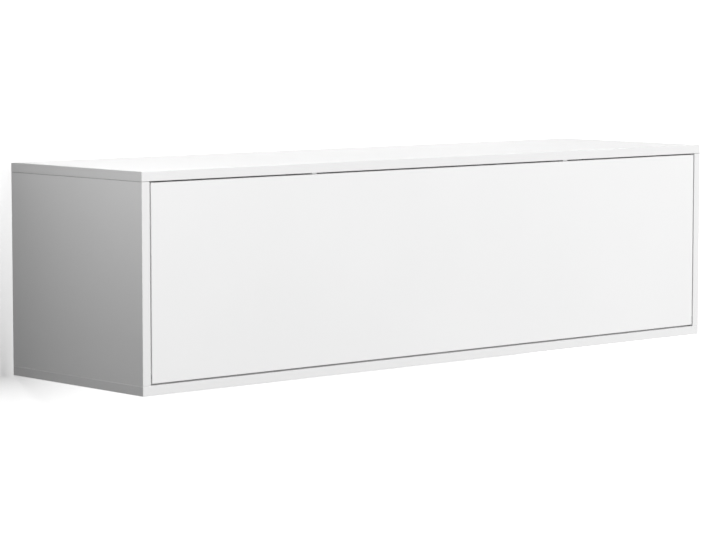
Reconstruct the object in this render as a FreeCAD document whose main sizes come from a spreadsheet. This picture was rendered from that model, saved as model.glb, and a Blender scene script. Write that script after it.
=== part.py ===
import FreeCAD, Part
import os
import re
import Sketcher
from FreeCAD import Placement, Rotation, Vector

# A white wall cabinet with one wide drop-down flap. Millimetres, +Z up, the front faces -Y.
# The wall is the plane y = 0, and the origin is the centre of the four wall screws.

# Driving dimensions, one cell each
SIZES = {
    # case
    "width": 1470, "height": 400, "depth": 400, "board": 18,
    "screw_drop": 80,
    "edge_radius": 0.8,
    "fit": 0.05,
    "overrun": 2,
    "back_thick": 5, "back_inset": 20, "groove_deep": 8, "groove_slack": 0.5,
    "divider_setback": 20,
    # board connectors
    "cam_front": 80, "cam_rear": 100, "dowel_pitch": 32,
    "cam_diameter": 15, "cam_tall": 13, "cam_offset": 34, "cam_sink": 0.4,
    "cam_slot_wide": 1.6, "cam_slot_long": 9, "cam_slot_deep": 2.5,
    "bolt_thread_diameter": 6, "bolt_thread_long": 11, "bolt_collar_diameter": 7.5, "bolt_collar_long": 4,
    "bolt_neck_diameter": 4, "bolt_head_diameter": 7, "bolt_head_long": 6,
    "cap_diameter": 18, "cap_thick": 1.2,
    "dowel_diameter": 8, "dowel_long": 30, "dowel_bevel": 1,
    # flap and its pivots
    "flap_thick": 18, "flap_gap_side": 2.5, "flap_gap_top": 2.6, "flap_gap_bottom": 3,
    "pivot_set": 9, "pivot_rise": 14,
    "pin_diameter": 8, "pin_side_long": 12, "pin_flap_long": 18, "pin_end_play": 0.5, "run_clear": 0.05,
    "bush_diameter": 12, "bush_end_thick": 2, "flange_diameter": 16, "flange_thick": 1,
    # flap stays
    "stay_inset": 11.5, "stay_lean_angle": 50, "flap_pin_angle": 7.7, "open_angle": 90,
    "rod_back_gap": 41,
    "rod_diameter": 6, "rod_tail": 6, "eye_diameter": 13, "eye_thick": 6,
    "collar_diameter": 12, "collar_long": 8, "collar_gap": 0.7,
    "head_long": 24, "head_tall": 22, "head_thick": 16, "head_bevel": 5, "bore_clear": 0.3,
    "stud_diameter": 8, "stud_head_long": 4,
    "stay_plate_thick": 3, "stay_plate_wide": 22, "stay_plate_pitch": 40,
    "brake_diameter": 7, "brake_pad_long": 1.6, "brake_knob_diameter": 12, "brake_knob_tall": 3.5,
    "lug_thick": 3, "lug_gap": 0.4, "lug_diameter": 15, "bracket_thick": 2.5, "bracket_wide": 22,
    "bracket_tall": 44, "bracket_pitch": 28, "bracket_radius": 5,
    "flap_pin_diameter": 5, "flap_pin_head_diameter": 8, "flap_pin_head": 1.2,
    # touch latches
    "latch_x": 332, "latch_wide": 14, "latch_tall": 20, "latch_long": 55, "latch_drop": 14,
    "latch_radius": 3, "tongue_wide": 12, "tongue_thick": 1.3, "tongue_set": 1.5,
    "ear_span": 40, "ear_long": 16, "ear_thick": 3, "ear_pitch": 28,
    "plunger_diameter": 9, "plunger_long": 36, "plunger_out": 4, "plunger_travel": 3, "plunger_clear": 0.15,
    "plunger_gap": 0.3, "magnet_diameter": 6, "magnet_long": 5,
    "strike_diameter": 15, "strike_thick": 2,
    # hangers and wall plates
    "hanger_long": 56, "hanger_tall": 44, "hanger_wide": 15, "hanger_top_gap": 3, "hanger_bevel": 10,
    "hanger_web": 3,
    "hook_thick": 3, "hook_clear": 0.3, "hook_arm": 7, "hook_drop": 14, "hook_tip": 3.5, "hook_play": 0.5,
    "back_slot_slack": 3,
    "cover_wall": 1.5, "cover_clear": 0.3, "cover_radius": 1.2, "access_diameter": 7,
    "plate_thick": 2.5, "plate_wide": 50, "plate_low": 28, "plate_bend": 26, "plate_lip": 16,
    "plate_stand": 6.5, "plate_edge": 2, "plate_radius": 3, "wall_hole_diameter": 7, "wall_hole_pitch": 32,
    "adjuster_diameter": 6, "adjuster_long": 20, "adjuster_pitch": 16, "adjuster_gap": 2,
    # countersunk screws
    "screw_diameter": 3.5, "screw_head_diameter": 7, "screw_head": 2, "screw_long": 14,
    "hanger_screw_pitch": 26,
}

# Places and sizes worked out from the driving dimensions
DERIVED = {
    "top": "screw_drop",
    "bottom": "screw_drop - height",
    "ceiling": "top - board",
    "floor": "bottom + board",
    "side_tall": "height - 2 * board",
    "half_wide": "width / 2",
    "inner_x": "half_wide - board",
    "back_front_y": "-(back_inset + back_thick)",
    "divider_front_y": "-depth + flap_thick + divider_setback",
    "cam_front_y": "-depth + cam_front",
    "cam_rear_y": "-cam_rear",
    "bolt_bore": "bolt_collar_diameter + 2 * fit",
    "flap_low": "floor + flap_gap_bottom",
    "flap_high": "ceiling - flap_gap_top",
    "flap_half": "inner_x - flap_gap_side",
    "flap_back_y": "-depth + flap_thick",
    "pivot_y": "-depth + pivot_set",
    "pivot_z": "flap_low + pivot_rise",
    "pin_bore": "pin_diameter + 2 * run_clear",
    "bush_bore": "bush_diameter + 2 * fit",
    "side_bush_deep": "pin_side_long + pin_end_play + bush_end_thick",
    "flap_bush_deep": "pin_flap_long + pin_end_play + bush_end_thick",
    "sink_taper": "atan((screw_head_diameter - screw_diameter) / 2 / screw_head) / 1deg",
    "stay_x": "inner_x - stay_inset",
    "rod_past_head": "head_long / 2 + collar_gap + collar_long + rod_tail",
    "rod_room": "back_front_y - rod_back_gap - rod_past_head - pivot_y",
    "rod_share": "sin(stay_lean_angle + open_angle / 2) + sin(open_angle / 2 - flap_pin_angle)",
    "stay_reach": "rod_room / (rod_share + sin(flap_pin_angle))",
    "flap_pin_y": "pivot_y + stay_reach * sin(flap_pin_angle)",
    "flap_pin_z": "pivot_z + stay_reach * cos(flap_pin_angle)",
    "head_y": "pivot_y + stay_reach * sin(stay_lean_angle)",
    "head_z": "pivot_z + stay_reach * cos(stay_lean_angle)",
    "rod_dip": "(flap_pin_angle + stay_lean_angle) / 2",
    "open_span": "2 * stay_reach * sin((stay_lean_angle - flap_pin_angle + open_angle) / 2)",
    "collar_at": "open_span + head_long / 2 + collar_gap",
    "rod_long": "open_span + rod_past_head",
    "eye_bore": "flap_pin_diameter + 2 * run_clear",
    "lug_x": "eye_thick / 2 + lug_gap",
    "strike_face_y": "flap_back_y + strike_thick",
    "plunger_tip_y": "strike_face_y + plunger_gap",
    "latch_front_y": "plunger_tip_y + plunger_out",
    "latch_z": "ceiling - latch_drop",
    "plunger_bore": "plunger_diameter + 2 * plunger_clear",
    "plunger_bore_deep": "plunger_long - plunger_out + plunger_travel + overrun",
    "tongue_long": "latch_front_y + depth - tongue_set",
    "hanger_x": "inner_x - hanger_wide / 2",
    "hanger_top": "ceiling - hanger_top_gap",
    "hook_tail": "hanger_long - adjuster_long - adjuster_gap",
    "lip_top": "plate_bend + plate_stand + plate_lip",
    "hook_low": "lip_top - hook_drop",
    "plate_x": "inner_x - plate_edge - plate_wide / 2",
}

doc = FreeCAD.newDocument("wall_cabinet")
sheet = doc.addObject("Spreadsheet::Sheet", "dims")
for row, (alias, millimetres) in enumerate(SIZES.items(), 1):
    sheet.set(f"A{row}", alias)
    sheet.set(f"B{row}", str(millimetres))
    sheet.setAlias(f"B{row}", alias)
doc.recompute()

SUB_PARTS = []
SIDES = (("left", "-1"), ("right", "1"))


def bound(text):
    """Turn a sum of named sizes into an expression on the sheet."""
    def swap(match):
        word = match.group(0)
        if word in DERIVED:
            return "(" + bound(DERIVED[word]) + ")"
        return "dims." + word if word in SIZES else word
    return re.sub(r"[a-z_]\w*", swap, text)


def number(text):
    """The present value of a sum of named sizes."""
    found = sheet.evalExpression(bound(text))
    return float(getattr(found, "Value", found))


def place(thing, x="0", y="0", z="0", tilt=None):
    """Bind an object's place, and its turn about X where it has one."""
    if tilt:
        thing.Placement = Placement(Vector(), Rotation(Vector(1, 0, 0), 1))
        thing.setExpression("Placement.Rotation.Angle", bound(tilt))
    for axis, text in zip("xyz", (x, y, z)):
        thing.setExpression(f"Placement.Base.{axis}", bound(text))


def new_body(name, x="0", y="0", z="0", tilt=None, kept=True):
    """A body with its own label; a kept one is written as a sub-part."""
    body = doc.addObject("PartDesign::Body", name)
    body.Label = name
    place(body, x, y, z, tilt)
    if kept:
        SUB_PARTS.append(body)
    return body


def new_sketch(body, role, offset="0"):
    """An empty sketch on one of the body's own planes, moved along its normal."""
    sketch = body.newObject("Sketcher::SketchObject", "sketch")
    plane = next(feature for feature in body.Origin.OriginFeatures if feature.Role == role)
    sketch.AttachmentSupport = (plane, [""])
    sketch.MapMode = "FlatFace"
    sketch.setExpression("AttachmentOffset.Base.z", bound(offset))
    return sketch


def constrain(sketch, kind, text, *where):
    """Add one dimension that follows the sheet."""
    index = sketch.addConstraint(Sketcher.Constraint(kind, *where, number(text)))
    sketch.setExpression(f"Constraints[{index}]", bound(text))


def add_polygon(sketch, points):
    """A closed outline of straight lines through points given as named sums."""
    corners = [Vector(number(x), number(y), 0) for x, y in points]
    first = sketch.GeometryCount
    count = len(points)
    for start, end in zip(corners, corners[1:] + corners[:1]):
        sketch.addGeometry(Part.LineSegment(start, end))
    for index, (x, y) in enumerate(points):
        line = first + index
        after = first + (index + 1) % count
        sketch.addConstraint(Sketcher.Constraint("Coincident", line, 2, after, 1))
        constrain(sketch, "DistanceX", x, -1, 1, line, 1)
        constrain(sketch, "DistanceY", y, -1, 1, line, 1)


def add_rectangle(sketch, x_low, y_low, x_high, y_high):
    add_polygon(sketch, [(x_low, y_low), (x_high, y_low), (x_high, y_high), (x_low, y_high)])


def add_circle(sketch, x, y, diameter):
    centre = Vector(number(x), number(y), 0)
    ring = sketch.addGeometry(Part.Circle(centre, Vector(0, 0, 1), number(diameter) / 2))
    constrain(sketch, "DistanceX", x, -1, 1, ring, 3)
    constrain(sketch, "DistanceY", y, -1, 1, ring, 3)
    constrain(sketch, "Diameter", diameter, ring)


def add_circles(sketch, places, diameter):
    for x, y in places:
        add_circle(sketch, x, y, diameter)


def pad(body, sketch, length, backwards=False, both=False):
    """Extrude along the sketch's normal, against it, or half each way."""
    feature = body.newObject("PartDesign::Pad", "pad")
    feature.Profile = sketch
    feature.setExpression("Length", bound(length))
    feature.Reversed = backwards
    feature.Midplane = both
    doc.recompute()
    return feature


def pocket(body, sketch, length, along=False, both=False, taper="0"):
    """Cut against the sketch's normal, along it, or half each way, and see that it cut something."""
    before = body.Shape.Volume
    feature = body.newObject("PartDesign::Pocket", "pocket")
    feature.Profile = sketch
    feature.setExpression("Length", bound(length))
    feature.Reversed = along
    feature.Midplane = both
    feature.setExpression("TaperAngle", bound(taper))
    doc.recompute()
    if not body.Shape.Volume < before:
        raise RuntimeError(f"a pocket in {body.Label} cut nothing")
    return feature


def revolve(body, points):
    """Turn a half outline of (radius, height) points about the upright axis."""
    sketch = new_sketch(body, "XZ_Plane")
    add_polygon(sketch, points)
    feature = body.newObject("PartDesign::Revolution", "turned")
    feature.Profile = sketch
    feature.ReferenceAxis = (sketch, ["V_Axis"])
    doc.recompute()
    return feature


def round_edges(body, wanted, radius):
    """Round the edges whose middle point the test picks."""
    base = body.Tip
    names = []
    for index, edge in enumerate(base.Shape.Edges, 1):
        middle = edge.valueAt((edge.FirstParameter + edge.LastParameter) / 2)
        if wanted(middle, edge):
            names.append(f"Edge{index}")
    feature = body.newObject("PartDesign::Fillet", "round")
    feature.Base = (base, names)
    feature.setExpression("Radius", bound(radius))
    doc.recompute()
    return feature


def near(value, text):
    return abs(value - number(text)) < number("fit")


def group(name, model, seats):
    """Copies of one model body at several seats, as separate solids of one sub-part."""
    copies = []
    for seat in seats:
        copy = model.Shape.copy()
        copy.Placement = seat
        copies.append(copy)
    feature = doc.addObject("Part::Feature", name)
    feature.Label = name
    feature.Shape = Part.makeCompound(copies)
    feature.Placement = Placement()
    SUB_PARTS.append(feature)


def seat(x, y, z, up, along=None):
    """A placement at named sums whose local Z points along up, and local X along the other."""
    up = Vector(*up)
    along = Vector(*along) if along else Vector(0, 0, 0)
    point = Vector(number(x), number(y), number(z))
    return Placement(point, Rotation(along, Vector(0, 0, 0), up, "ZXY"))


# Where the uprights meet the boards: x of each upright's middle, and which way its cams face
UPRIGHTS = [("-(inner_x + board / 2)", 1), ("0", 1), ("inner_x + board / 2", -1)]
CAM_ROWS = ["cam_front_y", "cam_rear_y"]
DOWEL_ROWS = ["cam_front_y + dowel_pitch", "cam_rear_y - dowel_pitch"]
DOWEL_BORE = "dowel_diameter + 2 * fit"
DOWEL_DEEP = "dowel_long / 2 + fit"
THREAD_BORE = "bolt_thread_diameter + 2 * fit"
THREAD_DEEP = "bolt_thread_long + fit"
SCREW_BORE = "screw_diameter + 2 * fit"
SINK_BORE = "screw_head_diameter + 2 * fit"
LATCHES = (("left", "-latch_x"), ("right", "latch_x"))


def back_groove(sketch, half_wide):
    low = "-(back_inset + back_thick + fit)"
    high = "-(back_inset - fit)"
    add_rectangle(sketch, f"-({half_wide})", low, half_wide, high)


def level_board(name, z, joint_face, into):
    """The top or bottom board; joint_face is the local height of the face that meets the uprights."""
    board = new_body(name, z=z)
    outline = new_sketch(board, "XY_Plane")
    add_rectangle(outline, "-half_wide", "-depth", "half_wide", "0")
    pad(board, outline, "board")
    round_edges(board, lambda at, edge: at.y < -number("edge_radius"), "edge_radius")
    groove = new_sketch(board, "XY_Plane", joint_face)
    back_groove(groove, "inner_x + groove_deep")
    pocket(board, groove, "groove_deep", along=into)
    for rows, bore, deep in ((CAM_ROWS, THREAD_BORE, THREAD_DEEP), (DOWEL_ROWS, DOWEL_BORE, DOWEL_DEEP)):
        drill = new_sketch(board, "XY_Plane", joint_face)
        add_circles(drill, [(x, y) for x, _ in UPRIGHTS for y in rows], bore)
        pocket(board, drill, deep, along=into)
    return board


def end_bores(body, x):
    """Bolt and dowel bores in both ends of an upright board, in its local frame."""
    for face, along in (("0", True), ("side_tall", False)):
        bolts = new_sketch(body, "XY_Plane", face)
        add_circles(bolts, [(x, y) for y in CAM_ROWS], "bolt_bore")
        pocket(body, bolts, "cam_offset + bolt_head_long / 2 + fit", along=along)
        dowels = new_sketch(body, "XY_Plane", face)
        add_circles(dowels, [(x, y) for y in DOWEL_ROWS], DOWEL_BORE)
        pocket(body, dowels, DOWEL_DEEP, along=along)


def cam_bores(body, face_x, along):
    drill = new_sketch(body, "YZ_Plane", face_x)
    heights = ("cam_offset", "side_tall - cam_offset")
    add_circles(drill, [(y, z) for y in CAM_ROWS for z in heights], "cam_diameter + 2 * fit")
    pocket(body, drill, "cam_tall + cam_sink", along=along)


def face_bores(body, role, offset, places, diameter, deep, along):
    """Blind bores of one size in one face."""
    drill = new_sketch(body, role, offset)
    add_circles(drill, places, diameter)
    pocket(body, drill, deep, along=along)


def countersinks(body, role, offset, places, thick, along):
    """Screw holes through a plate, tapered where the screw heads sit in its face."""
    face_bores(body, role, offset, places, SCREW_BORE, f"{thick} + overrun", along)
    drill = new_sketch(body, role, offset)
    add_circles(drill, places, SINK_BORE)
    pocket(body, drill, "screw_head", along=along, taper="-sink_taper")


# Places of the fixing screws that several pieces share
STAY_SCREWS = [("head_y - stay_plate_pitch / 2", "head_z"), ("head_y + stay_plate_pitch / 2", "head_z")]
HANGER_MID_Y = "back_front_y - hanger_long / 2"
HANGER_SCREW_Z = "hanger_top - hanger_tall + hanger_bevel / 2"
HANGER_SCREWS = [
    (f"{HANGER_MID_Y} - hanger_screw_pitch / 2", HANGER_SCREW_Z),
    (f"{HANGER_MID_Y} + hanger_screw_pitch / 2", HANGER_SCREW_Z),
]
LATCH_SCREW_Y = "latch_front_y + latch_long / 2"
EAR_OFFSETS = ("-ear_pitch / 2", "ear_pitch / 2")
BRACKET_STEPS = ("-bracket_pitch / 2", "bracket_pitch / 2")
ADJUSTER_HEIGHTS = ("hanger_top - adjuster_diameter", "hanger_top - adjuster_diameter - adjuster_pitch")


def case_boards():
    top = level_board("top_panel", "ceiling", "0", True)
    places = [(f"{x} + {ear}", LATCH_SCREW_Y) for _, x in LATCHES for ear in EAR_OFFSETS]
    face_bores(top, "XY_Plane", "0", places, SCREW_BORE, "screw_long - ear_thick + fit", True)
    level_board("bottom_panel", "bottom", "board", False)
    for side, sign in SIDES:
        side_board(side, sign)


def side_board(side, sign):
    board = new_body(f"{side}_side_panel", z="floor")
    outline = new_sketch(board, "XY_Plane")
    add_rectangle(outline, f"{sign} * half_wide", "-depth", f"{sign} * inner_x", "0")
    pad(board, outline, "side_tall")
    round_edges(board, lambda at, edge: at.y < -number("edge_radius"), "edge_radius")
    inner = f"{sign} * inner_x"
    outwards = sign == "1"
    groove = new_sketch(board, "XY_Plane", "-overrun")
    add_rectangle(
        groove, inner, "-(back_inset + back_thick + fit)",
        f"{sign} * (inner_x + groove_deep)", "-(back_inset - fit)")
    pocket(board, groove, "side_tall + 2 * overrun", along=True)
    end_bores(board, f"{sign} * (inner_x + board / 2)")
    cam_bores(board, inner, outwards)
    pivot = [("pivot_y", "pivot_z - floor")]
    face_bores(board, "YZ_Plane", inner, pivot, "bush_bore", "side_bush_deep", outwards)
    stay = [(y, f"{z} - floor") for y, z in STAY_SCREWS]
    face_bores(board, "YZ_Plane", inner, stay, SCREW_BORE, "screw_long - stay_plate_thick + fit", outwards)
    hanger = [(y, f"{z} - floor") for y, z in HANGER_SCREWS]
    face_bores(board, "YZ_Plane", inner, hanger, SCREW_BORE, "screw_long - hanger_web + fit", outwards)


def centre_divider():
    board = new_body("centre_divider", z="floor")
    outline = new_sketch(board, "XY_Plane")
    add_rectangle(outline, "-board / 2", "divider_front_y", "board / 2", "back_front_y")
    pad(board, outline, "side_tall")
    front = lambda at, edge: near(at.y, "divider_front_y") and near(at.z, "side_tall / 2")
    round_edges(board, front, "edge_radius")
    end_bores(board, "0")
    cam_bores(board, "board / 2", False)


def back_panel():
    tongue = "groove_deep - groove_slack"
    panel = new_body("back_panel")
    outline = new_sketch(panel, "XZ_Plane", "back_inset")
    half = f"inner_x + {tongue}"
    add_rectangle(outline, f"-({half})", f"floor - ({tongue})", half, f"ceiling + {tongue}")
    pad(panel, outline, "back_thick")
    slots = new_sketch(panel, "XZ_Plane", "back_inset - overrun")
    slack = "(hook_thick / 2 + back_slot_slack)"
    for _, sign in SIDES:
        add_rectangle(
            slots, f"{sign} * hanger_x - {slack}", "hook_low - back_slot_slack",
            f"{sign} * hanger_x + {slack}", "lip_top + hook_arm + back_slot_slack")
    pocket(panel, slots, "back_thick + 2 * overrun", along=True)


def turned_models():
    """Model bodies for the fasteners that repeat; their groups are written, not they."""
    cam = new_body("cam_model", kept=False)
    disc = new_sketch(cam, "XY_Plane")
    add_circle(disc, "0", "0", "cam_diameter")
    pad(cam, disc, "cam_tall", backwards=True)
    bolt_way = new_sketch(cam, "YZ_Plane", "cam_diameter")
    add_circle(bolt_way, "0", "-(board / 2 - cam_sink)", "bolt_bore")
    pocket(cam, bolt_way, "cam_diameter + bolt_head_long / 2 + fit")
    slot = new_sketch(cam, "XY_Plane")
    half_long, half_wide = "cam_slot_long / 2", "cam_slot_wide / 2"
    add_rectangle(slot, f"-{half_long}", f"-{half_wide}", half_long, half_wide)
    pocket(cam, slot, "cam_slot_deep")

    bolt = new_body("cam_bolt_model", kept=False)
    head_top = "-(cam_offset - bolt_head_long / 2)"
    revolve(bolt, [
        ("0", "bolt_thread_long"), ("bolt_thread_diameter / 2", "bolt_thread_long"),
        ("bolt_thread_diameter / 2", "0"),
        ("bolt_collar_diameter / 2", "0"), ("bolt_collar_diameter / 2", "-bolt_collar_long"),
        ("bolt_neck_diameter / 2", "-bolt_collar_long"), ("bolt_neck_diameter / 2", head_top),
        ("bolt_head_diameter / 2", head_top), ("bolt_head_diameter / 2", f"{head_top} - bolt_head_long"),
        ("0", f"{head_top} - bolt_head_long")])

    cap = new_body("cam_cap_model", kept=False)
    revolve(cap, [
        ("0", "0"), ("cap_diameter / 2", "0"), ("cap_diameter / 2", "cap_thick / 2"),
        ("cap_diameter / 2 - cap_thick / 2", "cap_thick"), ("0", "cap_thick")])

    dowel = new_body("dowel_model", kept=False)
    half = "dowel_long / 2"
    revolve(dowel, [
        ("0", f"-{half}"), ("dowel_diameter / 2 - dowel_bevel", f"-{half}"),
        ("dowel_diameter / 2", f"dowel_bevel - {half}"), ("dowel_diameter / 2", f"{half} - dowel_bevel"),
        ("dowel_diameter / 2 - dowel_bevel", half), ("0", half)])

    screw = new_body("screw_model", kept=False)
    revolve(screw, [
        ("0", "0"), ("screw_head_diameter / 2", "0"), ("screw_diameter / 2", "-screw_head"),
        ("screw_diameter / 2", "screw_diameter - screw_long"), ("0", "-screw_long")])
    return cam, bolt, cap, dowel, screw


def connectors(cam, bolt, cap, dowel):
    """Cam discs in the uprights, bolts in the level boards, caps over the cams, and dowels."""
    cams, bolts, caps, dowels = [], [], [], []
    for middle_x, facing in UPRIGHTS:
        face_x = f"{middle_x} + {facing} * board / 2"
        out = (facing, 0, 0)
        for plane, away in (("floor", 1), ("ceiling", -1)):
            joint = (0, 0, -away)
            for y in CAM_ROWS:
                z = f"{plane} + {away} * cam_offset"
                cams.append(seat(f"{face_x} - {facing} * cam_sink", y, z, out, joint))
                caps.append(seat(face_x, y, z, out))
                bolts.append(seat(middle_x, y, plane, joint))
            for y in DOWEL_ROWS:
                dowels.append(seat(middle_x, y, plane, (0, 0, 1)))
    group("cam_discs", cam, cams)
    group("cam_bolts", bolt, bolts)
    group("cam_caps", cap, caps)
    group("dowels", dowel, dowels)


def flap():
    panel = new_body("flap_panel")
    outline = new_sketch(panel, "XZ_Plane", "depth - flap_thick")
    add_rectangle(outline, "-flap_half", "flap_low", "flap_half", "flap_high")
    pad(panel, outline, "flap_thick")
    round_edges(panel, lambda at, edge: True, "edge_radius")
    for _, sign in SIDES:
        outwards = sign == "1"
        end = f"{sign} * flap_half"
        pivot = [("pivot_y", "pivot_z")]
        face_bores(panel, "YZ_Plane", end, pivot, "bush_bore", "flap_bush_deep", not outwards)
    brackets = [
        (bracket_mid_x(sign), f"flap_pin_z + {step}") for _, sign in SIDES for step in BRACKET_STEPS]
    bracket_deep = "screw_long - bracket_thick + fit"
    face_bores(panel, "XZ_Plane", "-flap_back_y", brackets, SCREW_BORE, bracket_deep, True)
    strikes = [(x, "latch_z") for _, x in LATCHES]
    strike_deep = "screw_long - strike_thick + fit"
    face_bores(panel, "XZ_Plane", "-flap_back_y", strikes, SCREW_BORE, strike_deep, True)


def bracket_mid_x(sign):
    """The middle of a flap bracket's foot, inwards of its lug."""
    return f"{sign} * (stay_x - lug_x - bracket_wide / 2)"


def pivots():
    """A steel pin at each lower corner, a flanged bush in the side board and one in the flap's end."""
    pin = new_body("hinge_pin_model", kept=False)
    pin_long = "pin_side_long + flap_gap_side + pin_flap_long"
    revolve(pin, [
        ("0", "0"), ("pin_diameter / 2 - edge_radius", "0"), ("pin_diameter / 2", "edge_radius"),
        ("pin_diameter / 2", f"{pin_long} - edge_radius"), ("pin_diameter / 2 - edge_radius", pin_long),
        ("0", pin_long)])
    models = {}
    for where, deep in (("side", "side_bush_deep"), ("flap", "flap_bush_deep")):
        bush = new_body(f"{where}_bush_model", kept=False)
        bore_end = f"-(pin_{where}_long + pin_end_play)"
        revolve(bush, [
            ("pin_bore / 2", "flange_thick"), ("flange_diameter / 2", "flange_thick"),
            ("flange_diameter / 2", "0"), ("bush_diameter / 2", "0"),
            ("bush_diameter / 2", f"-({deep})"), ("0", f"-({deep})"),
            ("0", bore_end), ("pin_bore / 2", bore_end)])
        models[where] = bush
    pins, side_seats, flap_seats = [], [], []
    for _, sign in SIDES:
        inwards = (-int(sign), 0, 0)
        outwards = (int(sign), 0, 0)
        pins.append(seat(f"{sign} * (inner_x + pin_side_long)", "pivot_y", "pivot_z", inwards))
        side_seats.append(seat(f"{sign} * inner_x", "pivot_y", "pivot_z", inwards))
        flap_seats.append(seat(f"{sign} * flap_half", "pivot_y", "pivot_z", outwards))
    group("hinge_pins", pin, pins)
    group("hinge_side_bushes", models["side"], side_seats)
    group("hinge_flap_bushes", models["flap"], flap_seats)


def stay_carrier(side, sign):
    """The plate and stud on the side board, and the brake head that swings on the stud."""
    plate = new_body(f"{side}_stay_plate", f"{sign} * inner_x", "head_y", "head_z")
    inwards = sign == "1"
    half_pitch = "stay_plate_pitch / 2"
    for y in (f"-{half_pitch}", half_pitch):
        end = new_sketch(plate, "YZ_Plane")
        add_circle(end, y, "0", "stay_plate_wide")
        pad(plate, end, "stay_plate_thick", backwards=inwards)
    waist = new_sketch(plate, "YZ_Plane")
    add_rectangle(waist, f"-{half_pitch}", "-stay_plate_wide / 2", half_pitch, "stay_plate_wide / 2")
    pad(plate, waist, "stay_plate_thick", backwards=inwards)
    stud = new_sketch(plate, "YZ_Plane")
    add_circle(stud, "0", "0", "stud_diameter")
    pad(plate, stud, "stay_inset - head_thick / 2 + stud_head_long - fit", backwards=inwards)
    holes = [(f"-{half_pitch}", "0"), (half_pitch, "0")]
    face = f"-1 * {sign} * stay_plate_thick"
    countersinks(plate, "YZ_Plane", face, holes, "stay_plate_thick", inwards)

    head = new_body(f"{side}_brake_head", f"{sign} * stay_x", "head_y", "head_z", "-rod_dip")
    outline = new_sketch(head, "YZ_Plane")
    long, tall = "head_long / 2", "head_tall / 2"
    add_polygon(outline, [
        (f"-{long}", f"head_bevel - {tall}"), (f"head_bevel - {long}", f"-{tall}"),
        (f"{long} - head_bevel", f"-{tall}"), (long, f"head_bevel - {tall}"),
        (long, f"{tall} - head_bevel"), (f"{long} - head_bevel", tall),
        (f"head_bevel - {long}", tall), (f"-{long}", f"{tall} - head_bevel")])
    pad(head, outline, "head_thick", both=True)
    round_edges(head, lambda at, edge: near(abs(at.x), "head_thick / 2"), "edge_radius")
    way = new_sketch(head, "XZ_Plane")
    add_circle(way, "0", "0", "rod_diameter + 2 * bore_clear")
    pocket(head, way, "head_long + overrun", both=True)
    centre = [("0", "0")]
    socket = "stud_diameter + 2 * run_clear"
    face_bores(head, "YZ_Plane", f"{sign} * head_thick / 2", centre, socket, "stud_head_long", not inwards)
    brake_deep = "head_thick / 2 - rod_diameter / 2 - bore_clear + fit"
    screw_face = f"-1 * {sign} * head_thick / 2"
    face_bores(head, "YZ_Plane", screw_face, centre, "brake_diameter + 2 * fit", brake_deep, inwards)


def brake(side, sign):
    """The pad that grips the rod and the slotted screw that presses on it, both in the head."""
    inner = "rod_diameter / 2 + bore_clear"
    backwards = sign == "1"
    pad_piece = new_body(f"{side}_brake_pad", f"{sign} * stay_x", "head_y", "head_z", "-rod_dip")
    disc = new_sketch(pad_piece, "YZ_Plane", f"-1 * {sign} * ({inner})")
    add_circle(disc, "0", "0", "brake_diameter")
    pad(pad_piece, disc, "brake_pad_long", backwards=backwards)

    screw = new_body(f"{side}_brake_screw", f"{sign} * stay_x", "head_y", "head_z", "-rod_dip")
    shank = new_sketch(screw, "YZ_Plane", f"-1 * {sign} * ({inner} + brake_pad_long)")
    add_circle(shank, "0", "0", "brake_diameter")
    pad(screw, shank, f"head_thick / 2 - ({inner}) - brake_pad_long", backwards=backwards)
    knob = new_sketch(screw, "YZ_Plane", f"-1 * {sign} * head_thick / 2")
    add_circle(knob, "0", "0", "brake_knob_diameter")
    pad(screw, knob, "brake_knob_tall", backwards=backwards)
    rim = f"-1 * {sign} * (head_thick / 2 + brake_knob_tall)"
    round_edges(screw, lambda at, edge: near(at.x, rim), "edge_radius")
    slot = new_sketch(screw, "YZ_Plane", rim)
    half_slot = "cam_slot_wide / 2"
    add_rectangle(slot, "-brake_knob_diameter", f"-{half_slot}", "brake_knob_diameter", half_slot)
    pocket(screw, slot, "brake_knob_tall / 2", along=backwards)


def stay_rod(side, sign):
    """The rod with its eye, and the collar that stops it in the head when the flap is level."""
    rod = new_body(f"{side}_stay_rod", f"{sign} * stay_x", "flap_pin_y", "flap_pin_z", "-rod_dip")
    bar = new_sketch(rod, "XZ_Plane")
    add_circle(bar, "0", "0", "rod_diameter")
    pad(rod, bar, "rod_long", backwards=True)
    round_edges(rod, lambda at, edge: near(at.y, "rod_long"), "edge_radius")
    eye = new_sketch(rod, "YZ_Plane")
    add_circle(eye, "0", "0", "eye_diameter")
    pad(rod, eye, "eye_thick", both=True)
    bore = new_sketch(rod, "YZ_Plane")
    add_circle(bore, "0", "0", "eye_bore")
    pocket(rod, bore, "eye_thick + overrun", both=True)

    collar = new_body(f"{side}_stay_collar", f"{sign} * stay_x", "flap_pin_y", "flap_pin_z", "-rod_dip")
    ring = new_sketch(collar, "XZ_Plane", "-collar_at")
    add_circle(ring, "0", "0", "collar_diameter")
    add_circle(ring, "0", "0", "rod_diameter + 2 * fit")
    pad(collar, ring, "collar_long", backwards=True)


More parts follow.
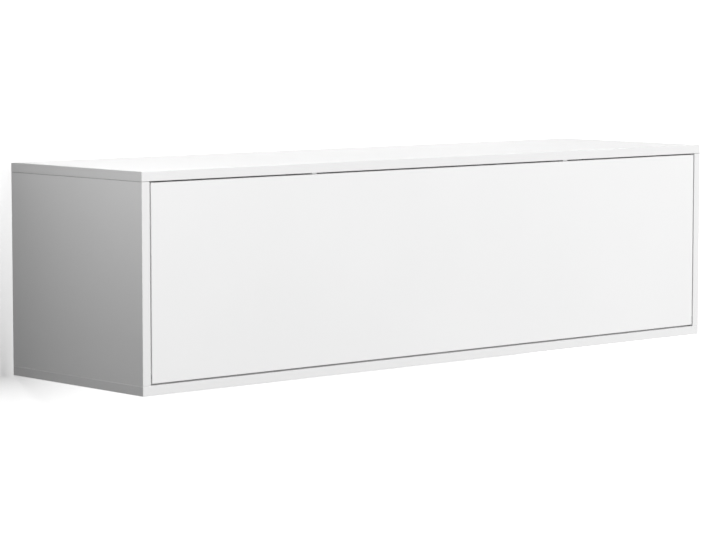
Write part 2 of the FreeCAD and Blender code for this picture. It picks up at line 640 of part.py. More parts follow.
def flap_bracket(side, sign):
    """The bracket on the flap's back, and the headed pin that carries the rod's eye."""
    bracket = new_body(f"{side}_flap_bracket", f"{sign} * stay_x", "flap_back_y", "flap_pin_z")
    lug_in = f"-1 * {sign} * (lug_x + lug_thick)"
    lug_out = f"-1 * {sign} * lug_x"
    foot = new_sketch(bracket, "XZ_Plane")
    foot_in = f"-1 * {sign} * (lug_x + bracket_wide)"
    add_rectangle(foot, foot_in, "-bracket_tall / 2", lug_out, "bracket_tall / 2")
    pad(bracket, foot, "bracket_thick", backwards=True)
    foot_corner = lambda at, edge: near(at.x, foot_in) and near(at.y, "bracket_thick / 2")
    round_edges(bracket, foot_corner, "bracket_radius")
    stand = "(flap_pin_y - flap_back_y)"
    web = new_sketch(bracket, "YZ_Plane", lug_in)
    add_polygon(web, [
        ("0", "-bracket_tall / 2"), (stand, "-lug_diameter / 2"),
        (stand, "lug_diameter / 2"), ("0", "bracket_tall / 2")])
    pad(bracket, web, "lug_thick", backwards=sign == "-1")
    nose = new_sketch(bracket, "YZ_Plane", lug_in)
    add_circle(nose, stand, "0", "lug_diameter")
    pad(bracket, nose, "lug_thick", backwards=sign == "-1")
    pin_hole = new_sketch(bracket, "YZ_Plane", lug_in)
    add_circle(pin_hole, stand, "0", "flap_pin_diameter + 2 * fit")
    pocket(bracket, pin_hole, "2 * (lug_thick + overrun)", both=True)
    holes = [(f"-1 * {sign} * (lug_x + bracket_wide / 2)", step) for step in BRACKET_STEPS]
    countersinks(bracket, "XZ_Plane", "-bracket_thick", holes, "bracket_thick", True)

    pin = new_body(f"{side}_flap_pin", f"{sign} * stay_x", "flap_pin_y", "flap_pin_z")
    inwards = sign == "1"
    shank = new_sketch(pin, "YZ_Plane", lug_in)
    add_circle(shank, "0", "0", "flap_pin_diameter")
    pad(pin, shank, "2 * lug_x + lug_thick", backwards=not inwards)
    head = new_sketch(pin, "YZ_Plane", f"{sign} * lug_x")
    add_circle(head, "0", "0", "flap_pin_head_diameter")
    pad(pin, head, "flap_pin_head", backwards=not inwards)


def touch_latch(side, x):
    """A white latch under the top board, with its plunger, magnet and the strike on the flap."""
    housing = new_body(f"{side}_latch_housing", x, "latch_front_y", "ceiling")
    block = new_sketch(housing, "XZ_Plane")
    add_rectangle(block, "-latch_wide / 2", "-latch_tall", "latch_wide / 2", "0")
    pad(housing, block, "latch_long", backwards=True)
    low_edge = lambda at, edge: near(at.z, "-latch_tall") and near(abs(at.x), "latch_wide / 2")
    round_edges(housing, low_edge, "latch_radius")
    tongue = new_sketch(housing, "XZ_Plane")
    add_rectangle(tongue, "-tongue_wide / 2", "-tongue_thick", "tongue_wide / 2", "0")
    pad(housing, tongue, "tongue_long")
    ears = new_sketch(housing, "XY_Plane")
    ear_low = "latch_long / 2 - ear_long / 2"
    add_rectangle(ears, "-ear_span / 2", ear_low, "ear_span / 2", f"{ear_low} + ear_long")
    pad(housing, ears, "ear_thick", backwards=True)
    ear_corner = lambda at, edge: near(abs(at.x), "ear_span / 2") and near(at.z, "-ear_thick / 2")
    round_edges(housing, ear_corner, "latch_radius")
    holes = [(ear, "latch_long / 2") for ear in EAR_OFFSETS]
    countersinks(housing, "XY_Plane", "-ear_thick", holes, "ear_thick", True)
    centre = [("0", "-latch_drop")]
    face_bores(housing, "XZ_Plane", "0", centre, "plunger_bore", "plunger_bore_deep", False)

    plunger = new_body(f"{side}_latch_plunger", x, "plunger_tip_y", "latch_z")
    rod = new_sketch(plunger, "XZ_Plane")
    add_circle(rod, "0", "0", "plunger_diameter")
    pad(plunger, rod, "plunger_long", backwards=True)
    round_edges(plunger, lambda at, edge: near(at.y, "0"), "edge_radius")
    magnet_bore = "magnet_diameter + 2 * fit"
    face_bores(plunger, "XZ_Plane", "0", [("0", "0")], magnet_bore, "magnet_long + fit", False)

    magnet = new_body(f"{side}_latch_magnet", x, "plunger_tip_y", "latch_z")
    disc = new_sketch(magnet, "XZ_Plane")
    add_circle(disc, "0", "0", "magnet_diameter")
    pad(magnet, disc, "magnet_long", backwards=True)

    strike = new_body(f"{side}_strike_plate", x, "flap_back_y", "latch_z")
    plate = new_sketch(strike, "XZ_Plane")
    add_circle(plate, "0", "0", "strike_diameter")
    pad(strike, plate, "strike_thick", backwards=True)
    round_edges(strike, lambda at, edge: near(at.y, "strike_thick"), "edge_radius")
    countersinks(strike, "XZ_Plane", "-strike_thick", [("0", "0")], "strike_thick", True)


def hanger(side, sign):
    """A hanger in an upper rear corner: its body, hook and cover."""
    x = f"{sign} * hanger_x"
    low = "hanger_top - hanger_tall"
    body = new_body(f"{side}_hanger_body", x, "back_front_y", low)
    outline = new_sketch(body, "YZ_Plane")
    add_polygon(outline, [
        ("-hanger_long", "hanger_bevel"), ("hanger_bevel - hanger_long", "0"), ("0", "0"),
        ("0", "hanger_tall"), ("-hanger_long", "hanger_tall")])
    pad(body, outline, "hanger_wide", both=True)
    slot = new_sketch(body, "YZ_Plane")
    slot_low = "hook_low - hook_clear - (hanger_top - hanger_tall)"
    slot_high = "lip_top + hook_arm + hook_clear - (hanger_top - hanger_tall)"
    add_rectangle(slot, "-(hook_tail + hook_clear)", slot_low, "overrun", slot_high)
    pocket(body, slot, "hook_thick + 2 * hook_clear", both=True)
    adjusters = [("0", f"{height} - ({low})") for height in ADJUSTER_HEIGHTS]
    adjuster_bore = "adjuster_diameter + 2 * fit"
    face_bores(body, "XZ_Plane", "hanger_long", adjusters, adjuster_bore, "adjuster_long", False)
    foot = [(y + " - back_front_y", f"{z} - ({low})") for y, z in HANGER_SCREWS]
    room_face = f"-1 * {sign} * hanger_wide / 2"
    face_bores(body, "YZ_Plane", room_face, foot, SINK_BORE, "hanger_wide - hanger_web", sign == "1")
    web_face = f"{sign} * (hanger_wide / 2 - hanger_web)"
    countersinks(body, "YZ_Plane", web_face, foot, "hanger_web", sign == "1")

    hook = new_body(f"{side}_hanger_hook", x)
    outline = new_sketch(hook, "YZ_Plane")
    lip_back = "-plate_stand"
    lip_front = "-(plate_stand + plate_thick)"
    tip_back = "hook_tip + hook_play - plate_stand"
    add_polygon(outline, [
        ("back_front_y - hook_tail", "hook_low"), (f"{lip_front} - hook_play", "hook_low"),
        (f"{lip_front} - hook_play", "lip_top"), (f"{lip_back} + hook_play", "lip_top"),
        (f"{lip_back} + hook_play", "hook_low"), (tip_back, "hook_low"),
        (tip_back, "lip_top + hook_arm"), ("back_front_y - hook_tail", "lip_top + hook_arm")])
    pad(hook, outline, "hook_thick", both=True)

    cover = new_body(f"{side}_hanger_cover", x, "back_front_y", low)
    shell = new_sketch(cover, "XZ_Plane")
    gap = "cover_clear + cover_wall"
    side_face = f"{sign} * hanger_wide / 2"
    room_face = f"-1 * {sign} * (hanger_wide / 2 + {gap})"
    add_rectangle(shell, side_face, f"-({gap})", room_face, f"hanger_tall + {gap}")
    pad(cover, shell, f"hanger_long + {gap}")
    front = f"-(hanger_long + {gap})"
    room_edge = lambda at, edge: near(at.x, room_face) or near(at.y, front)
    round_edges(cover, room_edge, "cover_radius")
    hollow = new_sketch(cover, "XZ_Plane", "-overrun")
    room_wall = f"-1 * {sign} * (hanger_wide / 2 + cover_clear)"
    side_open = f"{sign} * (hanger_wide / 2 + overrun)"
    add_rectangle(hollow, side_open, "-cover_clear", room_wall, "hanger_tall + cover_clear")
    pocket(cover, hollow, "hanger_long + cover_clear + overrun", along=True)
    outside = f"hanger_long + {gap} + overrun"
    face_bores(cover, "XZ_Plane", outside, adjusters, "access_diameter", "2 * overrun + cover_wall", False)


def wall_plate(side, sign):
    """A joggled steel plate that is screwed to the wall; the hook hangs over its lip."""
    plate = new_body(f"{side}_wall_plate", f"{sign} * plate_x")
    outline = new_sketch(plate, "YZ_Plane")
    low, bend = "-plate_low", "plate_bend"
    step = "plate_bend + plate_stand"
    lip_front = "-(plate_stand + plate_thick)"
    add_polygon(outline, [
        ("0", low), ("0", bend), ("-plate_stand", step), ("-plate_stand", "lip_top"),
        (lip_front, "lip_top"), (lip_front, f"{step} - plate_thick / 2"),
        ("-plate_thick", f"{bend} - plate_thick / 2"), ("-plate_thick", low)])
    pad(plate, outline, "plate_wide", both=True)
    ends = lambda at: near(at.z, "-plate_low") or near(at.z, "lip_top")
    plate_corner = lambda at, edge: near(abs(at.x), "plate_wide / 2") and ends(at)
    round_edges(plate, plate_corner, "plate_radius")
    holes = [("0", "-wall_hole_pitch / 2"), ("0", "wall_hole_pitch / 2")]
    through = "plate_thick + 2 * overrun"
    face_bores(plate, "XZ_Plane", "plate_thick + overrun", holes, "wall_hole_diameter", through, False)


def adjuster_screws():
    """The hangers' adjusting screws, slotted, one row for height and one for depth."""
    model = new_body("adjuster_model", kept=False)
    shank = new_sketch(model, "XY_Plane")
    add_circle(shank, "0", "0", "adjuster_diameter")
    pad(model, shank, "adjuster_long - fit", backwards=True)
    slot = new_sketch(model, "XY_Plane")
    half_slot = "cam_slot_wide / 2"
    add_rectangle(slot, "-adjuster_diameter", f"-{half_slot}", "adjuster_diameter", half_slot)
    pocket(model, slot, "cam_slot_deep")
    front_y = "back_front_y - hanger_long"
    for name, height in zip(("hanger_height_screws", "hanger_depth_screws"), ADJUSTER_HEIGHTS):
        group(name, model, [seat(f"{sign} * hanger_x", front_y, height, (0, -1, 0)) for _, sign in SIDES])


def fixing_screws(screw):
    latch, stay, bracket, hang, strike = [], [], [], [], []
    for _, x in LATCHES:
        for ear in EAR_OFFSETS:
            latch.append(seat(f"{x} + {ear}", LATCH_SCREW_Y, "ceiling - ear_thick", (0, 0, -1)))
        strike.append(seat(x, "strike_face_y", "latch_z", (0, 1, 0)))
    for _, sign in SIDES:
        room = (-int(sign), 0, 0)
        for y, z in STAY_SCREWS:
            stay.append(seat(f"{sign} * (inner_x - stay_plate_thick)", y, z, room))
        for y, z in HANGER_SCREWS:
            hang.append(seat(f"{sign} * (inner_x - hanger_web)", y, z, room))
        for step in BRACKET_STEPS:
            height = f"flap_pin_z + {step}"
            bracket.append(seat(bracket_mid_x(sign), "flap_back_y + bracket_thick", height, (0, 1, 0)))
    group("latch_screws", screw, latch)
    group("stay_plate_screws", screw, stay)
    group("flap_bracket_screws", screw, bracket)
    group("hanger_screws", screw, hang)
    group("strike_screws", screw, strike)


def build():
    case_boards()
    centre_divider()
    back_panel()
    cam, bolt, cap, dowel, screw = turned_models()
    connectors(cam, bolt, cap, dowel)
    flap()
    pivots()
    for side, sign in SIDES:
        stay_carrier(side, sign)
        brake(side, sign)
        stay_rod(side, sign)
        flap_bracket(side, sign)
        hanger(side, sign)
        wall_plate(side, sign)
    for side, x in LATCHES:
        touch_latch(side, x)
    adjuster_screws()
    fixing_screws(screw)
    doc.recompute()


def write():
    """Check every object, then write each sub-part."""
    for thing in doc.Objects:
        if {"Invalid", "Error"} & set(thing.State):
            raise RuntimeError(f"{thing.Label} is {thing.State}")
    for part in SUB_PARTS:
        if part.Shape.isNull() or not part.Shape.isValid():
            raise RuntimeError(f"{part.Label} has no valid shape")
    os.makedirs("parts", exist_ok=True)
    for part in SUB_PARTS:
        part.Shape.exportStep(f"parts/{part.Label}.step")
    print(len(SUB_PARTS), "sub-parts")
    for name in ("pivot_y", "pivot_z", "flap_pin_y", "flap_pin_z", "head_y", "head_z", "rod_dip", "stay_x"):
        print(name, round(number(name), 4))


build()
write()
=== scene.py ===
# %% [markdown]
# # A white wall cabinet with a drop-down flap
#
# The real object is a long box of white furniture board that hangs on two hidden steel plates. Its
# whole front is one flap without a handle: a push makes the touch latches let go, and two brake stays
# let the flap sink. The frame holds the exact pieces. This lesson gives each piece its finish, models
# the screws in full, and lights the cabinet against a pale wall as it was photographed.

# %% Load the frame
import math
from functools import reduce

import bmesh
import bpy
from mathutils import Matrix, Vector


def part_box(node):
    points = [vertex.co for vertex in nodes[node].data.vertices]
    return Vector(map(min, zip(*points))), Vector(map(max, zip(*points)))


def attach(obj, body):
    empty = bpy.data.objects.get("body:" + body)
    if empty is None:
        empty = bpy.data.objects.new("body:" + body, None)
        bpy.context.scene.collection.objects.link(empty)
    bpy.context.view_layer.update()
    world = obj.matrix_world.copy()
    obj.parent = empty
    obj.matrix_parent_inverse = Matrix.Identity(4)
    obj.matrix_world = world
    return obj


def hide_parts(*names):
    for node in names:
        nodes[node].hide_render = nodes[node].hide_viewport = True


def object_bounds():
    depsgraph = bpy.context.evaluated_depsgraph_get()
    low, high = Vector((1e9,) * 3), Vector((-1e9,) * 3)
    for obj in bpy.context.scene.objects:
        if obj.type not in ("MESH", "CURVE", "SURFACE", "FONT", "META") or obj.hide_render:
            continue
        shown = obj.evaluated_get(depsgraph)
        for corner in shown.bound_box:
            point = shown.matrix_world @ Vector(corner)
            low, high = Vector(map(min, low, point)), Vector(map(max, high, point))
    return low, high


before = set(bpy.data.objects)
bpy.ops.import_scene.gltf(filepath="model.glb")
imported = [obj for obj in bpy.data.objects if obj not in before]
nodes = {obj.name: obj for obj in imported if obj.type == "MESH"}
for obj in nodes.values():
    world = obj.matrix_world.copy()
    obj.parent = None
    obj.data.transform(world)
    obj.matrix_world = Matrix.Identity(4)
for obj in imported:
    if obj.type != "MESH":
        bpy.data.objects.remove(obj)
cad_low, cad_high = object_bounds()
MM = 0.001
print("pieces", len(nodes), "size in metres", [round(v, 3) for v in cad_high - cad_low])

# %% [markdown]
# ## A notebook for finishes
#
# Every finish here is a small graph of nodes that reads Object coordinates, which are metres on the
# real object, so a grain of half a millimetre is written as half a millimetre. It could be drawn in the
# shader editor by hand, but in code a finish can be made again for each board. Two classes keep that
# code short: one for any graph, and one for a material with its textures.


# %% Short calls for a graph of nodes
class Graph:
    def __init__(self, tree):
        self.tree = tree

    def add(self, kind, **settings):
        node = self.tree.nodes.new(kind)
        for key, value in settings.items():
            setattr(node, key, value)
        return node

    def join(self, value, socket):
        if isinstance(value, bpy.types.NodeSocket):
            self.tree.links.new(value, socket)
        else:
            socket.default_value = value

    def maths(self, operation, *values):
        node = self.add("ShaderNodeMath", operation=operation)
        for value, socket in zip(values, node.inputs):
            self.join(value, socket)
        return node.outputs[0]

    def chain(self, operation, values):
        """One operation of two values, over any number of them."""
        return reduce(lambda first, second: self.maths(operation, first, second), values)

    def weighted(self, *pairs):
        """The sum of some values, each times its weight."""
        return self.chain("ADD", [self.maths("MULTIPLY", value, weight) for value, weight in pairs])

    def ranged(self, value, low, high, start=0.0, end=1.0):
        """Carry a value from start..end over to low..high."""
        node = self.add("ShaderNodeMapRange")
        for number, socket in zip((value, start, end, low, high), node.inputs):
            self.join(number, socket)
        return node.outputs[0]

    def mix(self, share, first, second):
        node = self.add("ShaderNodeMix", data_type="RGBA")
        self.join(share, node.inputs[0])
        for colour, socket in ((first, node.inputs[6]), (second, node.inputs[7])):
            self.join(colour if isinstance(colour, bpy.types.NodeSocket) else (*colour, 1), socket)
        return node.outputs[2]


# %% [markdown]
# A material needs a shader and coordinates that its textures read. Blender makes the shader when a
# material uses nodes; this class adds the coordinates and keeps both at hand. A texture is asked for by
# the size of its grain, because that is what can be measured on a real board, and a bump by its depth.


# %% A material with its textures
class Finish(Graph):
    def __init__(self, name, colour, roughness, **sockets):
        """A plain look; what is fed to a socket later takes its place."""
        self.material = bpy.data.materials.new(name)
        self.material.use_nodes = True
        super().__init__(self.material.node_tree)
        self.shader = self.tree.nodes["Principled BSDF"]
        self.place = self.add("ShaderNodeTexCoord").outputs["Object"]
        self.feed("Base Color", (*colour, 1))
        self.feed("Roughness", roughness)
        for socket, value in sockets.items():
            self.feed(socket.replace("_", " ").title().replace("Ior", "IOR"), value)

    def feed(self, socket, value):
        self.join(value, self.shader.inputs[socket])

    def axes(self):
        split = self.add("ShaderNodeSeparateXYZ")
        self.join(self.place, split.inputs[0])
        return split.outputs

    def grained(self, kind, grain, stretch):
        """A texture whose lumps are about one grain across, in metres."""
        node = self.add(kind)
        node.inputs["Scale"].default_value = 1 / grain
        if stretch:
            mapping = self.add("ShaderNodeMapping")
            self.join(self.place, mapping.inputs["Vector"])
            mapping.inputs["Scale"].default_value = stretch
        self.join(mapping.outputs[0] if stretch else self.place, node.inputs["Vector"])
        return node

    def noise(self, grain, detail=2.0, stretch=None):
        node = self.grained("ShaderNodeTexNoise", grain, stretch)
        node.inputs["Detail"].default_value = detail
        return node.outputs["Fac"]

    def cells(self, grain, stretch=None):
        """Cells that each have a random value."""
        return self.grained("ShaderNodeTexVoronoi", grain, stretch).outputs["Color"]

    def spread(self, noise, low, high, margin=0.3):
        """Carry the middle of a noise, which seldom comes near 0 or 1, over to low..high."""
        return self.ranged(noise, low, high, margin, 1 - margin)

    def bump(self, height, depth):
        """Raise the surface by height times depth, in metres."""
        node = self.add("ShaderNodeBump")
        self.join(height, node.inputs["Height"])
        node.inputs["Distance"].default_value = depth
        self.feed("Normal", node.outputs[0])


# %% [markdown]
# Each piece of the frame has a slot for its material. Finishes could be handed out by clicking in the
# viewport, but a list of names is easier to check. Most fittings come in pairs, so one helper names the
# left and the right piece.


# %% Dress pieces of the frame
def dress(finish, *names):
    """Put one finish on every material slot of the named pieces."""
    for name in names:
        for slot in nodes[name].material_slots:
            slot.material = finish.material


def both(*stems):
    """The left and the right piece of each stem."""
    return [f"{side}_{stem}" for side in ("left", "right") for stem in stems]


def shade(colour, share):
    return tuple(share * value for value in colour)


print("slots to fill", sum(len(piece.material_slots) for piece in nodes.values()))

# %% [markdown]
# ## White board
#
# The boards are chipboard between two sheets of white melamine. The sheet isn't mirror smooth: a fine
# pearl grain breaks up reflections. The edges that show carry a white band, a smoother plastic, a shade
# darker, which meets the sheet in a hairline. Where a drill or a saw has gone through, in the bores,
# the groove and the bare rear edges, the raw chips show. As in the photograph, the sides have a thin
# line of painted shade under the top board, the divider one at each end, and the upper arris of the
# bottom board's ends has a painted highlight, a pale line. Each board could be unwrapped and painted.
# Here one graph does without: it measures how deep a point lies under the board's own faces, and what
# lies deeper than the sheet is chips.

# %% Raw chips
CHIP_GRAIN = 2.6 * MM
CHIP_FLATNESS = 2
FLAKE_SHARE, DUST_SHARE = 0.6, 0.5
CHIP_DARK, CHIP_PALE = (0.30, 0.20, 0.11), (0.62, 0.48, 0.31)


def chips(finish):
    """Pressed chips: random flat cells with fine dust between."""
    flakes = finish.cells(CHIP_GRAIN, stretch=(1, 1, CHIP_FLATNESS))
    dust = finish.noise(CHIP_GRAIN / 4, detail=3)
    tone = finish.weighted((flakes, FLAKE_SHARE), (dust, DUST_SHARE))
    return finish.mix(tone, CHIP_DARK, CHIP_PALE)


print("chips about", CHIP_GRAIN / MM, "mm wide")

# %% [markdown]
# To know what shows at a point, the graph asks how far the point lies from the board's faces. Painted
# vertices or a second material could mark the edges, but a distance serves the bores and grooves as
# well, because their walls lie deep under every face.


# %% Distance from a board's faces
def from_faces(finish, low, high, faces):
    """How far a point lies from the nearest of the named faces of a box, such as -y for the front."""
    axes = finish.axes()
    distances = []
    for side, letter in faces:
        axis = "xyz".index(letter)
        outwards = (axes[axis], low[axis]) if side == "-" else (high[axis], axes[axis])
        distances.append(finish.maths("SUBTRACT", *outwards))
    return finish.chain("MINIMUM", distances)


def near(finish, box, faces, reach):
    """One where a point lies within reach of the named faces, and zero elsewhere."""
    return finish.maths("LESS_THAN", from_faces(finish, *box, faces), reach)


# %% [markdown]
# The layers then go over each other like coats of paint: the sheet with its faint clouds, the band and
# its hairline, the painted shade in the joint, the painted highlight on the arris, and last the chips
# where the board is cut. A mask and a mix make each coat, so that one can be changed without the others.

# %% Board finish
WHITE = (0.885, 0.885, 0.885)
ENDS = ("-x", "+x")
ALL_FACES = (*ENDS, "-y", "+y", "-z", "+z")
SHEET, BAND = 0.9 * MM, 1.0 * MM
HAIRLINE, SEAM, ARRIS = 0.1 * MM, 0.6 * MM, 1.6 * MM
SAW_MARGIN = 0.1 * MM
CLOUD_TONE, BAND_TONE, HAIRLINE_TONE = 0.985, 0.945, 0.88
# Shares of white for the painted shade in the joint and the painted highlight on the arris.
SEAM_SHADE_TONE, ARRIS_HIGHLIGHT_TONE = 0.4, 1.09
CLOUD_GRAIN, PEARL_GRAIN = 250 * MM, 0.7 * MM
PEARL_DEEP, SPLINTER_SHARE, BAND_PEARL_SHARE = 0.012 * MM, 12, 0.3
SHEEN_LOW, SHEEN_HIGH, CHIP_ROUGHNESS = 0.50, 0.62, 0.9


def white_board(name, banded, bare=(), butted=(), arris_highlight_faces=()):
    """A board with bands on some faces, raw chips on the bare ones, painted shade in the joint where it is
    butted, and a painted highlight on the arris where its end bands meet the faces named for it."""
    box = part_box(name)
    finish = Finish(f"white_board_{name}", WHITE, roughness=0.56)
    cut = finish.maths("GREATER_THAN", from_faces(finish, *box, ALL_FACES), SHEET)
    if bare:
        cut = finish.maths("MAXIMUM", cut, near(finish, box, bare, SAW_MARGIN))
    band = near(finish, box, banded, BAND)
    joint = finish.maths("COMPARE", from_faces(finish, *box, banded), BAND, HAIRLINE)
    cloud = finish.spread(finish.noise(CLOUD_GRAIN), 0.0, 1.0)
    coat = finish.mix(cloud, shade(WHITE, CLOUD_TONE), WHITE)
    coat = finish.mix(band, coat, shade(WHITE, BAND_TONE))
    coat = finish.mix(joint, coat, shade(WHITE, HAIRLINE_TONE))
    # Painted shade: a dark strip along the butted faces, where the next board shades the joint.
    if butted:
        coat = finish.mix(near(finish, box, butted, SEAM), coat, shade(WHITE, SEAM_SHADE_TONE))
    # Painted highlight: a pale strip along the arris of the end bands, where light from above would catch
    # it.
    if arris_highlight_faces:
        crossing = (near(finish, box, ENDS, BAND), near(finish, box, arris_highlight_faces, ARRIS))
        arris = finish.maths("MULTIPLY", *crossing)
        coat = finish.mix(arris, coat, shade(WHITE, ARRIS_HIGHLIGHT_TONE))
    finish.feed("Base Color", finish.mix(cut, coat, chips(finish)))
    grain = finish.noise(PEARL_GRAIN, detail=3)
    sheen = finish.spread(grain, SHEEN_LOW, SHEEN_HIGH)
    dull = finish.maths("MULTIPLY", cut, CHIP_ROUGHNESS)
    finish.feed("Roughness", finish.maths("MAXIMUM", sheen, dull))
    pearl = finish.maths("MULTIPLY", grain, finish.ranged(band, 1.0, BAND_PEARL_SHARE))
    splinters = finish.maths("MULTIPLY", finish.noise(CHIP_GRAIN / 2), cut)
    finish.bump(finish.weighted((pearl, 1), (splinters, SPLINTER_SHARE)), PEARL_DEEP)
    dress(finish, name)
    print(name, "band on", *banded)


# %% [markdown]
# Each of the six boards says which faces are banded, sawn or butted. The top and bottom boards cover the
# ends of the sides, so their own ends show and have bands; the flap has them all round. A list of faces
# for each could be kept in a table, but the calls are short enough to read as one.

# %% Six boards
white_board("top_panel", ("-y", *ENDS), bare=("+y",))
# The bottom board gets a painted highlight on the upper arris of its ends.
white_board("bottom_panel", ("-y", *ENDS), bare=("+y",), arris_highlight_faces=("+z",))
for name in both("side_panel"):
    white_board(name, ("-y",), bare=("+y",), butted=("+z",))
white_board("centre_divider", ("-y",), butted=("-z", "+z"))
white_board("flap_panel", (*ENDS, "-z", "+z"))

# %% [markdown]
# ## Hardboard back
#
# The back is thin hardboard in grooves: white lacquer towards the room, thinner and greyer than the
# sheets of the boards, and bare brown fibre towards the wall, with the faint mesh print that the press
# leaves there. Two materials on two faces would do it too, but the piece has one slot, so the graph
# asks whether a point lies behind the lacquer.

# %% Back finish
LACQUER = 0.1 * MM
LACQUER_TONE = 0.82
LACQUER_WHITE = shade(WHITE, LACQUER_TONE)
LACQUER_ROUGHNESS, FIBRE_ROUGHNESS = 0.45, 0.8
FIBRE_DARK, FIBRE_PALE = (0.20, 0.115, 0.055), (0.38, 0.24, 0.125)
FIBRE_GRAIN, STAIN_GRAIN = 3 * MM, 120 * MM
FIBRE_SHARE, STAIN_SHARE = 0.75, 0.25
MESH_PITCH, MESH_DEEP = 1.6 * MM, 0.05 * MM
back_low, back_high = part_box("back_panel")


def hardboard_back():
    finish = Finish("hardboard_back", LACQUER_WHITE, roughness=0.5)
    along, through, up = finish.axes()
    behind = finish.maths("GREATER_THAN", through, back_low.y + LACQUER)
    fibre, stain = finish.noise(FIBRE_GRAIN, detail=6), finish.noise(STAIN_GRAIN)
    felt = finish.weighted((fibre, FIBRE_SHARE), (stain, STAIN_SHARE))
    brown = finish.mix(finish.spread(felt, 0.0, 1.0, margin=0.36), FIBRE_DARK, FIBRE_PALE)
    finish.feed("Base Color", finish.mix(behind, LACQUER_WHITE, brown))
    finish.feed("Roughness", finish.ranged(behind, LACQUER_ROUGHNESS, FIBRE_ROUGHNESS))
    turns = [finish.maths("MULTIPLY", place, math.tau / MESH_PITCH) for place in (along, up)]
    waves = [finish.maths("SINE", turn) for turn in turns]
    finish.bump(finish.chain("MULTIPLY", [*waves, behind]), MESH_DEEP)
    return finish


dress(hardboard_back(), "back_panel")
print("back in mm", [round(v / MM, 1) for v in back_high - back_low])

# %% [markdown]
# ## Metal
#
# The fittings are pressed steel with bright zinc plate: pale, a little blue, and cloudy where the plate
# took unevenly. A picture of zinc could be wrapped round each fitting, but they are small and many, and
# noise in real sizes fits all of them at once.

# %% Zinc plate
ZINC_COLD, ZINC_WARM = (0.44, 0.455, 0.48), (0.47, 0.47, 0.465)
ZINC_CLOUD, ZINC_SATIN, ZINC_GRAIN = 6 * MM, 1.5 * MM, 0.4 * MM
ZINC_DEEP = 0.008 * MM
ZINC_SMOOTH, ZINC_DULL = 0.32, 0.42


def zinc_plate():
    finish = Finish("zinc_plate", ZINC_COLD, roughness=0.35, metallic=1.0)
    cloud = finish.spread(finish.noise(ZINC_CLOUD, detail=3), 0.0, 1.0, margin=0.35)
    finish.feed("Base Color", finish.mix(cloud, ZINC_COLD, ZINC_WARM))
    finish.feed("Roughness", finish.spread(finish.noise(ZINC_SATIN, detail=4), ZINC_SMOOTH, ZINC_DULL))
    finish.bump(finish.noise(ZINC_GRAIN), ZINC_DEEP)
    return finish


ZINC_PIECES = [
    "cam_discs", "cam_bolts", "hinge_pins", "hanger_height_screws", "hanger_depth_screws",
    "latch_screws", "stay_plate_screws", "flap_bracket_screws", "hanger_screws", "strike_screws"]
ZINC_PAIRS = both(
    "stay_plate", "flap_bracket", "flap_pin", "brake_screw", "stay_collar", "hanger_hook", "wall_plate",
    "strike_plate")

zinc = zinc_plate()
dress(zinc, *ZINC_PIECES, *ZINC_PAIRS)
print("zinc pieces", len(ZINC_PIECES) + len(ZINC_PAIRS))

# %% [markdown]
# The stay rods are drawn through a die and plated, which leaves fine lines along the rod. The brake
# heads are castings with a matt skin. A noise that is stretched along the rod gives the lines, and a
# coarser one the skin; a photograph of either would repeat and show its seams.

# %% Drawn rods and cast heads
NICKEL, CAST_ZINC = (0.62, 0.62, 0.63), (0.50, 0.51, 0.53)
LINE_WIDE, LINE_DEEP = 0.3 * MM, 0.004 * MM
LINE_STRETCH = (1, 0.02, 0.02)
SKIN_SATIN, SKIN_GRAIN, SKIN_DEEP = 0.8 * MM, 0.5 * MM, 0.02 * MM
ROD_SMOOTH, ROD_DULL = 0.14, 0.30
CAST_SMOOTH, CAST_DULL = 0.42, 0.6


def drawn_rod():
    finish = Finish("drawn_rod", NICKEL, roughness=0.22, metallic=1.0)
    lines = finish.noise(LINE_WIDE, stretch=LINE_STRETCH)
    finish.feed("Roughness", finish.spread(lines, ROD_SMOOTH, ROD_DULL))
    finish.bump(lines, LINE_DEEP)
    return finish


def die_cast():
    finish = Finish("die_cast", CAST_ZINC, roughness=0.5, metallic=1.0)
    finish.feed("Roughness", finish.spread(finish.noise(SKIN_SATIN, detail=3), CAST_SMOOTH, CAST_DULL))
    finish.bump(finish.noise(SKIN_GRAIN, detail=3), SKIN_DEEP)
    return finish


dress(drawn_rod(), *both("stay_rod"))
dress(die_cast(), *both("brake_head"))
print("rods and heads", len(both("stay_rod", "brake_head")))

# %% [markdown]
# ## Moulded pieces
#
# The latches, covers and cam caps are moulded in white with the fine skin of a spark-eroded mould; the
# plungers, hanger bodies and hinge bushes are grey. The skin could be modelled, but at a third of a
# millimetre only its sheen shows, so noise drives the roughness and a shallow bump.

# %% Mouldings
MOULD_SKIN, MOULD_DEEP = 0.35 * MM, 0.01 * MM
MOULD_CLOUD, MOULD_TONE = 30 * MM, 0.97
SMOOTHER, DULLER = 0.06, 0.08
MOULD_WHITE, MOULD_GREY = (0.86, 0.86, 0.855), (0.42, 0.43, 0.44)


def moulded(name, colour, roughness):
    finish = Finish(name, colour, roughness)
    skin = finish.noise(MOULD_SKIN, detail=3)
    finish.feed("Roughness", finish.spread(skin, roughness - SMOOTHER, roughness + DULLER))
    tone = finish.spread(finish.noise(MOULD_CLOUD), 0.0, 1.0, margin=0.35)
    finish.feed("Base Color", finish.mix(tone, shade(colour, MOULD_TONE), colour))
    finish.bump(skin, MOULD_DEEP)
    return finish


WHITE_PIECES = ["cam_caps", *both("latch_housing", "hanger_cover")]
GREY_PIECES = ["hinge_side_bushes", "hinge_flap_bushes", *both("latch_plunger", "hanger_body")]
dress(moulded("white_moulding", MOULD_WHITE, roughness=0.40), *WHITE_PIECES)
dress(moulded("grey_moulding", MOULD_GREY, roughness=0.50), *GREY_PIECES)
print("mouldings, white and grey", len(WHITE_PIECES), len(GREY_PIECES))

# %% [markdown]
# ## Dowels, linings and magnets
#
# The dowels are turned beech, with the grain along their length. The brake pads are a pressed lining,
# and the latch magnets are sintered, both dark and dull. A stretched noise is enough for the wood,
# since the dowels are small and mostly hidden, and a fine speck for the other two.

